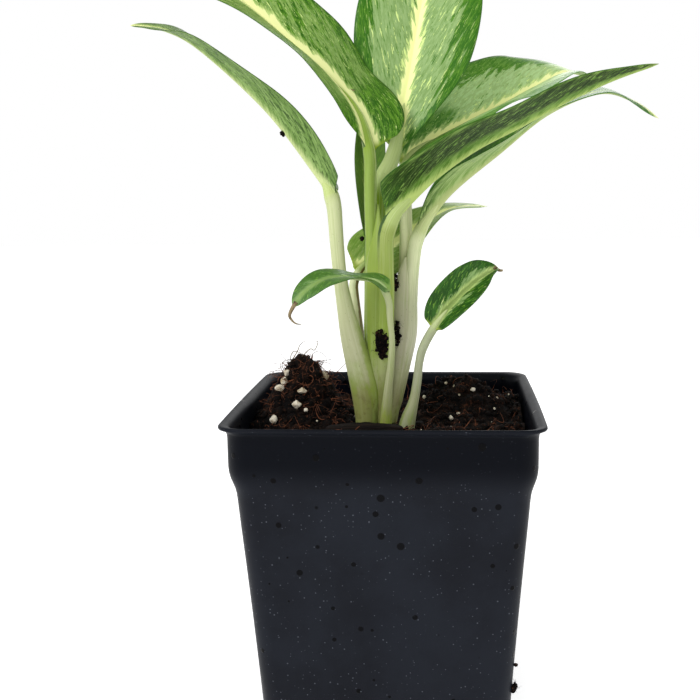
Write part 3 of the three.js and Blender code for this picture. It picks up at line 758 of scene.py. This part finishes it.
def makeStalkPaint(name, shape):
    foot, low, head, under = shape["colours"]
    seed = len(name) * 3
    paint = newPaint(name + "_skin", 0.4, 0.25)
    length, turn, share = paint.values("stalk")
    angle = turn * (2 * math.pi)
    around, beside = (paint.add("Math", {"operation": kind}, {0: angle}) for kind in ("SINE", "COSINE"))
    lines = paint.noiseAround(around * 5, beside * 5, length * 0.025 + seed, 4)
    cloud = paint.noiseAround(around, beside, length * 0.07 + seed)
    blots = paint.noiseAround(around * 2, beside * 2, length * 0.3 + seed, 4, 0.65)
    paint.ground(share.rise(*shape.get("fade", (0.25, 0.9))), low, head)
    rough = length + (blots - 0.5) * 16
    paint.coat(rough.fall(20, 32) * 0.8, stalkPaint["dry"])
    crown = rough.fall(12, 24)
    paint.coat(crown, foot)
    paint.coat(share.rise(0.94, 1.1), under)
    paint.coat(cloud.rise(0.5, 0.7) * 0.2, stalkPaint["cloud"])
    paint.coat(lines.rise(0.5, 0.75) * (1 - crown * 0.7) * 0.3, stalkPaint["ridge"])
    paint.coat(lines.rise(0.5, 0.3) * 0.25, stalkPaint["furrow"])
    if "streak" in shape:
        side, halfTurn, start, full, tone = shape["streak"]
        inside = (abs(turn - side) + (blots - 0.5) * 0.1).fall(halfTurn * 0.6, halfTurn)
        paint.coat(inside * (share + (blots - 0.5) * 0.2).rise(start, full), tone)
    # rusty and yellow-green blots round the crown
    paint.coat(crown * blots.rise(0.5, 0.62) * 0.5, stalkPaint["rust"])
    paint.coat(crown * cloud.rise(0.5, 0.6) * shape.get("green", 0.5), stalkPaint["green"])
    specks = paint.cells(paint.add("CombineXYZ", None, {0: around * 3, 1: beside * 3, 2: length * 0.4}), 1)
    paint.coat(specks.fall(0.05, 0.1) * 0.6, stalkPaint["speck"])
    return paint.finish(lines, 0.15, 0.5)


for leafName, stalkShape in stalkShapes.items():
    makeStalk(leafName, stalkShape)
for sheathName, sheathShape in sheaths.items():
    makeSheath(sheathName, sheathShape)
print("stalks made")


# Soil: mounds are the places, heights and reaches of the heaps on its top
soilShape = {
    "level": 88.5,
    "mounds": ((-28, 5, 20, 7), (-38, 2, 8, 6), (20, 21, 10, 8), (38, 20, 7, 9), (32, 9, 4, 7),
               (-3, 2, 1.2, 9)),
    "half": 47.0, "footHalf": 39.6, "foot": 1.6, "corner": 7, "rings": 150, "steps": 300,
}
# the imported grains: centre and half sizes
grains = (
    ((-35.7, 0.8, 106.4), (1.1, 1.1, 1.3)), ((-36.6, -0.9, 103.8), (1.3, 1.2, 1.25)),
    ((-38, -1.6, 101.5), (1.9, 1.4, 1.2)), ((-23, 3.3, 104.6), (1.9, 1.7, 1.6)),
    ((-29.9, -3.6, 100.8), (1.4, 1.2, 0.95)), ((-31.6, -6.1, 96.6), (1.4, 1.2, 1.3)),
    ((-39.4, -8.5, 91.7), (1.25, 1.2, 1.5)), ((29.9, 11.3, 98.5), (0.95, 0.9, 0.8)),
)
# small grains with a place of their own, centre and width, beside those scattered over the soil
smallGrains = (
    ((-21.7, -0.3, 98.9), 1.5), ((-28.2, -6.5, 94.6), 1.7), ((-11.7, 1.2, 90.2), 1.4),
    ((12.2, 18.1, 94.3), 1.5), ((21.9, 0.7, 90.4), 1.4), ((24.9, 11.7, 96.4), 0.9),
    ((28.6, 3.8, 92.2), 1.1), ((20.2, 18.3, 99.5), 1.1), ((35.5, 9.9, 96), 1.1),
    ((-27.6, 1.1, 106.7), 0.7), ((-24.2, -9.1, 91.3), 0.7), ((11.8, -14, 89.1), 1),
)
# soil stuck on the leaves and the pot: centre, half sizes of the clump and number of crumbs
stuckClumps = (
    ((-1.5, -9.9, 119.4), (1.6, 0.5, 3.4), 190), ((-1, -9.7, 115.6), (1.1, 0.4, 2), 60),
    # the tall thin clump at (3.6, -4.3, 121) fills the dark gap between the column and the small right stalk,
    # as a dark stand-in for the shade there
    ((3, -5.6, 138.6), (0.9, 0.6, 2.4), 50), ((3.6, -4.3, 121), (0.6, 0.4, 4), 50),
    ((2.4, -5.4, 136), (0.5, 0.5, 0.8), 8), ((-35.5, 2.6, 189.4), (0.7, 0.3, 0.4), 10),
    ((-8.2, -3.6, 153.4), (0.15, 0.15, 0.8), 6), ((42.3, -36, 9.2), (0.6, 0.8, 1.3), 40),
    ((42.6, -36.5, 17), (0.1, 0.1, 0.4), 3),
)
# dry leaf tips and loose roots: points, and the radii at the two ends
threads = (
    (((-28, -25.8, 134.3), (-29.2, -26, 132.6), (-30.3, -26, 130.2), (-29.7, -26, 128.6),
      (-28.3, -26, 127.4), (-26.5, -26, 127.1)), (0.8, 0.1)),
    (((36.4, -3.2, 143.4), (37.4, -3.2, 142.8), (38.4, -3.2, 142.3), (39.4, -3.2, 142.3)), (0.7, 0.35)),
    (((-11.6, -1.5, 203.4), (-10.9, -1.5, 203.1), (-10.2, -1.4, 202.9)), (0.24, 0.14)),
    (((-35.2, 2, 109), (-32.2, 2, 113.7), (-31.1, 2, 116.2), (-29.3, 2, 117.6)), (0.2, 0.08)),
    (((-30.5, 2, 112), (-27.6, 2, 114.7), (-25.9, 2, 114.4), (-24.7, 2, 117.2), (-25.8, 2, 117.6)),
     (0.16, 0.1)),
    (((-33.5, 1, 108), (-34.4, 1, 111.6), (-33.2, 1, 114), (-30, 1, 113.2)), (0.2, 0.08)),
)
# "clear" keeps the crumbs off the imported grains, and a clump of at least "hairy" crumbs has fibres too
crumbs = {"count": 2600, "heapCount": 1100, "heap": (-29, 3), "spread": 6.5, "small": 0.35, "large": 1.5,
          "heapLarge": 1.8, "clear": 1.2, "hairy": 30}
fibres = {"count": 520, "heapCount": 420, "heap": (-28, 4), "spread": 6, "length": (2, 9),
          "radius": (0.06, 0.18), "stations": 12, "sides": 5, "inside": 45}


def squareReach(angle, half):
    # distance from the middle of a square with rounded corners to its edge, in one direction
    corner = soilShape["corner"]
    across = np.maximum(np.abs(np.cos(angle)), np.abs(np.sin(angle)))
    along = np.minimum(np.abs(np.cos(angle)), np.abs(np.sin(angle)))
    centre = (half - corner) * (across + along)
    inside = np.maximum(centre**2 - 2 * (half - corner) ** 2 + corner**2, 0)
    return np.where(half * along / across > half - corner, centre + np.sqrt(inside), half / across)


def roughSoil(x, y):
    # bell-shaped mounds with clods, crumbs and grit, rougher where the soil is heaped
    top = soilShape["level"] + 0 * x
    for centreX, centreY, rise, reach in soilShape["mounds"]:
        top = top + rise * np.exp(-((x - centreX) ** 2 + (y - centreY) ** 2) / (2 * reach**2))
    flat = np.stack([x, y, 0 * x], -1)
    clods = 1.3 * noiseAt(flat, 6.5, 1) + 0.9 * noiseAt(flat, 3.1, 2)
    grit = 0.55 * np.abs(noiseAt(flat, 1.5, 3)) + 0.3 * noiseAt(flat, 0.8, 4)
    return top - 0.6 + (clods + grit) * (1 + 0.9 * smooth(90, 100, top))


def makeSoilPaint():
    paint = newPaint("soil_mix", 0.95, 0.15)
    place = paint.place()
    clumpLightAndShade = paint.noise(place, 0.25, 5, 0.7)
    grit = paint.noise(place, 1.6, 4, 0.7)
    # painted light and shade: near black between the clumps and in the grit's dips is painted shadow, and the
    # reddish brown on the clump and grit tops is the soil's own colour brightened as painted highlight
    paint.ground(clumpLightAndShade.rise(0.45, 0.62), "#050303", "#1c100a")
    paint.coat((clumpLightAndShade + (grit - 0.5) * 0.4).rise(0.59, 0.7) * 0.7, "#54301f")
    paint.coat(grit.rise(0.6, 0.7) * 0.6, "#7a4e38")
    paint.coat(grit.rise(0.47, 0.36) * 0.85, "#030202")
    return paint.finish(grit, 0.5, 0.8)


def makePerlitePaint():
    paint = newPaint("perlite_skin", 0.9, 0.3)
    tone = paint.noise(paint.place(), 0.5, 4, 0.65)
    paint.ground(tone.rise(0.4, 0.7), "#e4dcca", "#b09c7a")
    paint.coat(paint.cells(paint.place(), 1.6).fall(0.1, 0.3) * 0.4, "#8a7456")
    return paint.finish(tone, 0.4, 0.8)


def makeThreadPaint(name, roughness, dark, light):
    paint = newPaint(name, roughness, 0.2)
    paint.ground(paint.noise(paint.place(), 0.4).rise(0.35, 0.65), dark, light)
    return paint.finish()


soilPaint = makeSoilPaint()
perlitePaint = makePerlitePaint()


def flatRing(reach, angle):
    return reach * np.cos(angle), reach * np.sin(angle)


def makeSoil():
    angle = circle(soilShape["steps"])
    share = np.linspace(1, 0.004, soilShape["rings"]) ** 0.9
    x, y = flatRing(share[:, None] * squareReach(angle, soilShape["half"]), angle)
    footX, footY = flatRing(squareReach(angle, soilShape["footHalf"]), angle)
    foot = np.stack([footX, footY, 0 * angle + soilShape["foot"]], -1)
    points, faces = loft(np.concatenate([foot[None], np.stack([x, y, roughSoil(x, y)], -1)]))
    finishPiece(makeMesh("potting_soil", points, faces, [soilPaint]), "soil", "potting_soil")


def icosphere(detail):
    # unit icosphere: an icosahedron whose triangles are split in four, detail - 1 times
    ball = bmesh.new()
    bmesh.ops.create_icosphere(ball, subdivisions=detail, radius=1)
    points = np.array([vertex.co for vertex in ball.verts])
    faces = np.array([[vertex.index for vertex in face.verts] for face in ball.faces])
    ball.free()
    return points, faces


icospheres = {detail: icosphere(detail) for detail in (1, 2, 4)}


def lump(seed, size, detail=1):
    # a rough grain: an icosphere pushed in and out by noise, with its own half sizes
    points, faces = icospheres[detail]
    push = 1 + 0.28 * noiseAt(points + seed * 7.3, 0.9, 5) + 0.12 * noiseAt(points + seed, 0.35, 6)
    return points * push[:, None] * size, faces


def turnRandomly(points, random):
    # a random rotation from a random unit quaternion
    w, x, y, z = unit(random.normal(size=4))
    rows = [[1 - 2 * (y * y + z * z), 2 * (x * y - z * w), 2 * (x * z + y * w)],
            [2 * (x * y + z * w), 1 - 2 * (x * x + z * z), 2 * (y * z - x * w)],
            [2 * (x * z - y * w), 2 * (y * z + x * w), 1 - 2 * (x * x + y * y)]]
    return points @ np.array(rows).T


def scatterSpots(count, random, margin=1.5):
    # random places on the soil's top
    angle = random.uniform(0, 2 * np.pi, count)
    share = np.sqrt(random.uniform(0, 1, count))
    x, y = flatRing(squareReach(angle, soilShape["half"] - margin) * share, angle)
    return np.stack([x, y, roughSoil(x, y)], -1)


def soilSpots(amounts, random):
    # places all over the top, and more of them on the left heap
    spots = scatterSpots(amounts["count"], random)
    heaped = random.normal(size=(amounts["heapCount"], 2)) * amounts["spread"] + amounts["heap"]
    return np.vstack([spots, np.column_stack([heaped, roughSoil(heaped[:, 0], heaped[:, 1])])])


def makeCrumbs():
    random = np.random.default_rng(11)
    parts = []
    for number, spot in enumerate(soilSpots(crumbs, random)):
        if any(np.linalg.norm(spot - centre) < half[0] + crumbs["clear"] for centre, half in grains):
            continue
        largest = crumbs["large"] if number < crumbs["count"] else crumbs["heapLarge"]
        size = random.uniform(crumbs["small"], largest) ** 1.5 * random.uniform(0.5, 1.3, 3)
        points, faces = lump(number, np.maximum(size, 0.25))
        parts.append((turnRandomly(points, random) + spot, [faces]))
    finishParts("soil_crumbs", parts, soilPaint, "soil")


def fibre(spot, direction, length, radius, random):
    # a thin tube that wanders off a straight line and stays inside the pot
    t = np.linspace(0, 1, fibres["stations"])
    bendA, bendB = random.normal(size=(2, 3)) * length * 0.28
    path = spot + t[:, None] * unit(direction) * length
    path = path + np.sin(t * 3)[:, None] * bendA + np.sin(t * 6.5)[:, None] * bendB * 0.5
    path[:, :2] = np.clip(path[:, :2], -fibres["inside"], fibres["inside"])
    radii = radius * (1 - 0.6 * t)
    return loft(tubeRings(path, radii, radii, fibres["sides"], unit(random.normal(size=3))))


def makeFibres():
    random = np.random.default_rng(23)
    parts = []
    for number, spot in enumerate(soilSpots(fibres, random)):
        direction = random.normal(size=3) * (1, 1, 0.25)
        if number >= fibres["count"]:
            direction[2] -= 0.1
        length = random.uniform(*fibres["length"])
        parts.append(fibre(spot, direction, length, random.uniform(*fibres["radius"]), random))
    finishParts("soil_fibres", parts, makeThreadPaint("coir", 0.85, "#24130c", "#7c4a32"), "soil")


def makeGrains():
    for number, (centre, half) in enumerate(grains):
        points, faces = lump(number + 50, np.array(half), 4)
        name = f"perlite_{number + 1}"
        finishPiece(makeMesh(name, points + centre, [faces], [perlitePaint]), "perlite", name)
    random = np.random.default_rng(31)
    parts = []
    spots = [(spot, random.uniform(0.7, 1.6)) for spot in scatterSpots(60, random)]
    for number, (spot, width) in enumerate(spots + list(smallGrains)):
        points, faces = lump(number + 90, width / 2 * random.uniform(0.8, 1.2, 3), 2)
        parts.append((points + spot, [faces]))
    finishParts("perlite_fines", parts, perlitePaint, "perlite")


def makeStuckSoil():
    random = np.random.default_rng(47)
    parts = []
    for centre, half, count in stuckClumps:
        for number in range(count):
            points, faces = lump(number + 7, random.uniform(0.35, 1) ** 2 * random.uniform(0.6, 1.2, 3))
            spot = np.clip(random.normal(size=3) * 0.6, -1, 1) * half + centre
            parts.append((turnRandomly(points, random) + spot, [faces]))
            if count >= crumbs["hairy"]:
                parts.append(fibre(spot, random.normal(size=3), random.uniform(0.6, 2.2), 0.07, random))
    finishParts("stuck_soil", parts, soilPaint, "soil")


def makeThreads():
    t = np.linspace(0, 1, 40)
    parts = []
    for route, ends in threads:
        radii = numberAt(ends, t)
        parts.append(loft(tubeRings(curveAt(route, t), radii, radii, 8)))
    finishParts("dry_threads", parts, makeThreadPaint("dry_thread", 0.7, "#3a2a1c", "#8c7c5c"), "blade")


makeSoil()
makeCrumbs()
makeFibres()
makeGrains()
makeStuckSoil()
makeThreads()
print("soil made")

bark = {"centre": (-7, -20.5, 91.3), "half": (13, 3, 1.4), "turn": -4, "bend": 2,
        "stations": 70, "sides": 36, "dark": "#070505", "light": "#1e1511"}


def makeBark():
    # a flat strip with ragged ends: rounded boxes in section, bent and roughened along its length
    t = np.linspace(-0.99, 0.99, bark["stations"])[:, None]
    angle = circle(bark["sides"])[None]
    taper = (1 - np.abs(t) ** 5) ** 0.6
    halfLength, halfWidth, halfThick = bark["half"]
    boxy = (np.abs(np.cos(angle)) ** 4 + np.abs(np.sin(angle)) ** 4) ** -0.25
    x = t * halfLength + 0 * angle
    y = halfWidth * taper * boxy * np.cos(angle) + bark["bend"] * (0.5 - t**2) * 0.6
    z = halfThick * (0.35 + 0.65 * taper) * boxy * np.sin(angle) + 0.4 * t
    rings = np.stack([x, y, z], -1)
    grain = noiseAt(rings * (0.3, 2.2, 2.2), 1.0, 41) * 0.22 + noiseAt(rings, 4.0, 42) * 0.35
    rings = rings + grain[..., None] * (0, 0.6, 1)
    turn = math.radians(bark["turn"])
    spin = np.array([[math.cos(turn), math.sin(turn), 0], [-math.sin(turn), math.cos(turn), 0], [0, 0, 1]])
    points, faces = loft(rings @ spin + bark["centre"])
    paint = newPaint("bark_skin", 0.85, 0.12)
    stretched = paint.add("Mapping", None, {"Vector": paint.place(), "Scale": (0.12, 1.6, 1.6)})
    lines = paint.noise(stretched, 1, 5, 0.7)
    paint.ground(lines.rise(0.35, 0.65), bark["dark"], bark["light"])
    finishPiece(makeMesh("bark_strip", points, faces, [paint.finish(lines, 0.4, 0.8)]), "bark", "bark_strip")


makeBark()

stem = {"from": 62, "to": 90.5, "radius": 5.3, "side": -2.5, "stations": 40, "sides": 48,
        "light": "#8e9458", "dark": "#6b5f38"}


def makeStem():
    # the short stem: a knobbly round bar that ends under the stalks, with its lower half in the soil
    height = np.linspace(stem["from"], stem["to"], stem["stations"])
    angle = circle(stem["sides"])
    radius = stem["radius"] + 0.25 * np.sin(height * 1.3) - 0.8 * smooth(88, 91, height)
    radius = radius[:, None] + 0 * angle
    x, y = flatRing(radius, angle)
    points, faces = loft(np.stack([x + stem["side"], y, height[:, None] + 0 * angle], -1))
    paint = newPaint("stem_skin", 0.6, 0.4)
    tone = paint.noise(paint.place(), 0.5, 4)
    paint.ground(tone.rise(0.4, 0.65), stem["light"], stem["dark"])
    finishPiece(makeMesh("stem_base", points, faces, [paint.finish(tone, 0.4, 0.6)]), "stem", "stem_base")


makeStem()
print("bark and stem made")

potShape = {
    "corner": 7, "cornerSteps": 14, "sideSteps": 26, "bow": 0.5,
    "drainRadius": 4, "drainOffset": 27, "drainSides": 40,
    # half width and height, from the middle of the base up the outside, over the lip and down the inside
    "profile": (
        (4, 0), (20, 0), (38.5, 0), (40.2, 0.25), (40.8, 0.8), (41.1, 1.8), (42, 15),
        (43.3, 33), (44.6, 50), (45.8, 65), (46.4, 73), (46.6, 75), (46.9, 76.6), (47.5, 78.6),
        (48.1, 80.6), (48.45, 82.4), (48.6, 84.5), (48.6, 89), (48.6, 93.6), (48.75, 95), (49.3, 96),
        (50.2, 96.5), (50.75, 96.8), (51, 97.3), (50.9, 97.8), (50.5, 98), (49.6, 97.8), (48.6, 97.3),
        (47.8, 96.4), (47.45, 95), (47.4, 93), (47.4, 88), (47.4, 84.4), (47.2, 82.4), (46.8, 80.6),
        (46.1, 78.4), (45.6, 76.6), (45.35, 75), (44.6, 65), (43.4, 50), (42.1, 33), (40.8, 15),
        (39.9, 2.2), (39.2, 1.4), (37, 1.2), (20, 1.2), (4, 1.2),
    ),
}
# the collar colour is painted shade under the lip
potPaint = {"body": "#15171d", "cloud": "#1b1e25", "collar": "#03050c", "drop": "#020203",
            "speck": "#4e525a", "dropCells": 0.16, "speckCells": 0.8}


def squarePlan(half, corner):
    # round the outline of a square with rounded corners: arcs joined by sides, as unit steps
    arcSteps, sideSteps = potShape["cornerSteps"], potShape["sideSteps"]
    number = np.arange(4 * (arcSteps + sideSteps))
    quarter, step = np.divmod(number, arcSteps + sideSteps)
    angle = (quarter + np.minimum(step, arcSteps) / arcSteps) * np.pi / 2
    middle = (quarter + 0.5) * np.pi / 2
    x = (half - corner) * math.sqrt(2) * np.cos(middle) + corner * np.cos(angle)
    y = (half - corner) * math.sqrt(2) * np.sin(middle) + corner * np.sin(angle)
    slide = (step - arcSteps) / sideSteps * 2 * (half - corner)
    facing = (quarter + 1) * np.pi / 2
    onArc = step <= arcSteps
    return np.where(onArc, x, x - slide * np.sin(facing)), np.where(onArc, y, y + slide * np.cos(facing))


def makePotPaint():
    paint = newPaint("pot_plastic", 0.42, 0.06)
    place = paint.place()
    cloud = paint.noise(place, 0.03, 4)
    fine = paint.noise(place, 0.5)
    height = paint.add("SeparateXYZ", None, {0: place}, 2)
    # painted shade under the lip: darker up the collar and less so on the lip itself
    shade = (height + (cloud - 0.5) * 3).rise(75, 87) * (1 - height.rise(95, 96.5) * 0.6)
    paint.ground(cloud.rise(0.35, 0.65), potPaint["body"], potPaint["cloud"])
    paint.coat(shade * 0.95, potPaint["collar"])
    # dried drops and dust specks, each with a size of its own
    dropSize = paint.chances(place, potPaint["dropCells"]) * 0.2 + 0.04
    drops = (paint.cells(place, potPaint["dropCells"]) / dropSize).fall(0.7, 1)
    paint.coat(drops * 0.9, potPaint["drop"])
    speckSize = paint.chances(place, potPaint["speckCells"]) ** 2 * 0.24 + 0.02
    specks = (paint.cells(place, potPaint["speckCells"]) / speckSize).fall(0.5, 1)
    # the specks show less in the painted shade
    paint.coat(specks * (1 - shade * 0.8) * 0.8, potPaint["speck"])
    rough = 0.4 + (cloud - 0.5) * 0.25 + (fine - 0.5) * 0.1 + drops * -0.2
    return paint.finish(fine * 0.3 + drops * 1.5, 0.12, 0.5, rough)


def makePot():
    # the profile carried round the square plan, with sides that bow out towards the lip
    rings = []
    for half, height in np.array(potShape["profile"], float):
        x, y = squarePlan(half, min(potShape["corner"], half * 0.5))
        bow = potShape["bow"] * smooth(20, 98, height) * (1 - (np.minimum(np.abs(x), np.abs(y)) / half) ** 2)
        wide = np.abs(x) > np.abs(y)
        x, y = x + np.where(wide, np.sign(x) * bow, 0), y + np.where(wide, 0, np.sign(y) * bow)
        rings.append(np.stack([x, y, 0 * x + height], -1))
    points, faces = loft(np.array(rings))
    pot = makeMesh("pot", points, faces, [makePotPaint()])
    cutDrains(pot)
    finishPiece(pot, "pot", "pot")


def cutDrains(pot):
    # four round holes through the floor
    x, y = flatRing(potShape["drainRadius"], circle(potShape["drainSides"]))
    ring = np.stack([x, y, 0 * x], -1)
    parts = []
    for signX, signY in ((1, 1), (-1, 1), (-1, -1), (1, -1)):
        centre = np.array([signX, signY, 0]) * potShape["drainOffset"]
        parts.append(loft(np.array([ring + centre - (0, 0, 2), ring + centre + (0, 0, 4)])))
    cutter = makeMesh("drain_cutter", *joinParts(parts), [])
    cut = pot.modifiers.new("drains", "BOOLEAN")
    cut.operation = "DIFFERENCE"
    cut.object = cutter
    mesh = bpy.data.meshes.new_from_object(pot.evaluated_get(bpy.context.evaluated_depsgraph_get()))
    pot.modifiers.clear()
    pot.data = mesh
    bpy.data.objects.remove(cutter)


makePot()
print("pot made")

stage = {"floorHalf": 3000, "floorTone": 0.85, "floorGlow": 0.6, "skyTop": 0.35}
# name: place, size and power; each faces the plant
lights = {
    "key": ((-550, -500, 750), 500, 5),
    "fill": ((650, -350, 350), 600, 0.8),
    "rim": ((150, 650, 600), 400, 1.5),
}
aim = np.array([0, 0, 150])
camera = {"place": (20, -358, 170), "yaw": 5.3, "pitch": 8.75, "roll": -0.9, "lens": 53.49}


def makeStage():
    half = stage["floorHalf"] / 1000
    mesh = bpy.data.meshes.new("floor")
    corners = [(-half, -half, 0), (half, -half, 0), (half, half, 0), (-half, half, 0)]
    mesh.from_pydata(corners, [], [(0, 1, 2, 3)])
    paint = newPaint("floor_white", 0.9, 0.1)
    paint.put(paint.shader.inputs["Base Color"], [stage["floorTone"]] * 3 + [1])
    paint.put(paint.shader.inputs["Emission Color"], "#ffffff")
    paint.put(paint.shader.inputs["Emission Strength"], stage["floorGlow"])
    mesh.materials.append(paint.material)
    addObject("floor", mesh)
    # white all round at eye level, and dimmer overhead
    world = bpy.data.worlds.new("studio")
    sky = Paint(world, "Background")
    height = sky.add("SeparateXYZ", None, {0: sky.add("TexCoord")}, 2)
    overhead = [stage["skyTop"]] * 3 + [1]
    sky.put(sky.shader.inputs["Color"], sky.blend(height.rise(0.35, 0.8), "#ffffff", overhead))
    bpy.context.scene.world = world
    bpy.context.scene.view_settings.view_transform = "Standard"


def place(thing, right, up, back, spot):
    # stand a lamp or the camera at a spot, with its own X, Y and Z along right, up and back
    matrix = np.eye(4)
    matrix[:3, :3] = np.column_stack([right, up, back])
    matrix[:3, 3] = np.asarray(spot, float) / 1000
    thing.matrix_world = Matrix(matrix.tolist())


def makeLights():
    for name, (spot, size, power) in lights.items():
        lamp = bpy.data.lights.new(name, "AREA")
        lamp.size = size / 1000
        lamp.energy = power
        back = unit(np.asarray(spot, float) - aim)
        right = unit(np.cross((0, 0, 1), back))
        place(addObject(name, lamp), right, np.cross(back, right), back, spot)


def makeCamera():
    # yaw turns the view to the left, pitch tips it down and roll turns it about its own axis
    yaw, pitch, roll = (math.radians(camera[key]) for key in ("yaw", "pitch", "roll"))
    ahead = np.array([-math.sin(yaw) * math.cos(pitch), math.cos(yaw) * math.cos(pitch), -math.sin(pitch)])
    level = np.array([math.cos(yaw), math.sin(yaw), 0])
    upright = np.cross(level, ahead)
    right = math.cos(roll) * level + math.sin(roll) * upright
    up = math.cos(roll) * upright - math.sin(roll) * level
    lens = bpy.data.cameras.new("camera")
    lens.lens = camera["lens"]
    lens.sensor_width = 36
    lens.clip_start = 0.01
    holder = addObject("camera", lens)
    place(holder, right, up, -ahead, camera["place"])
    bpy.context.scene.camera = holder


makeStage()
makeLights()
makeCamera()
print("stage, lights and camera made")
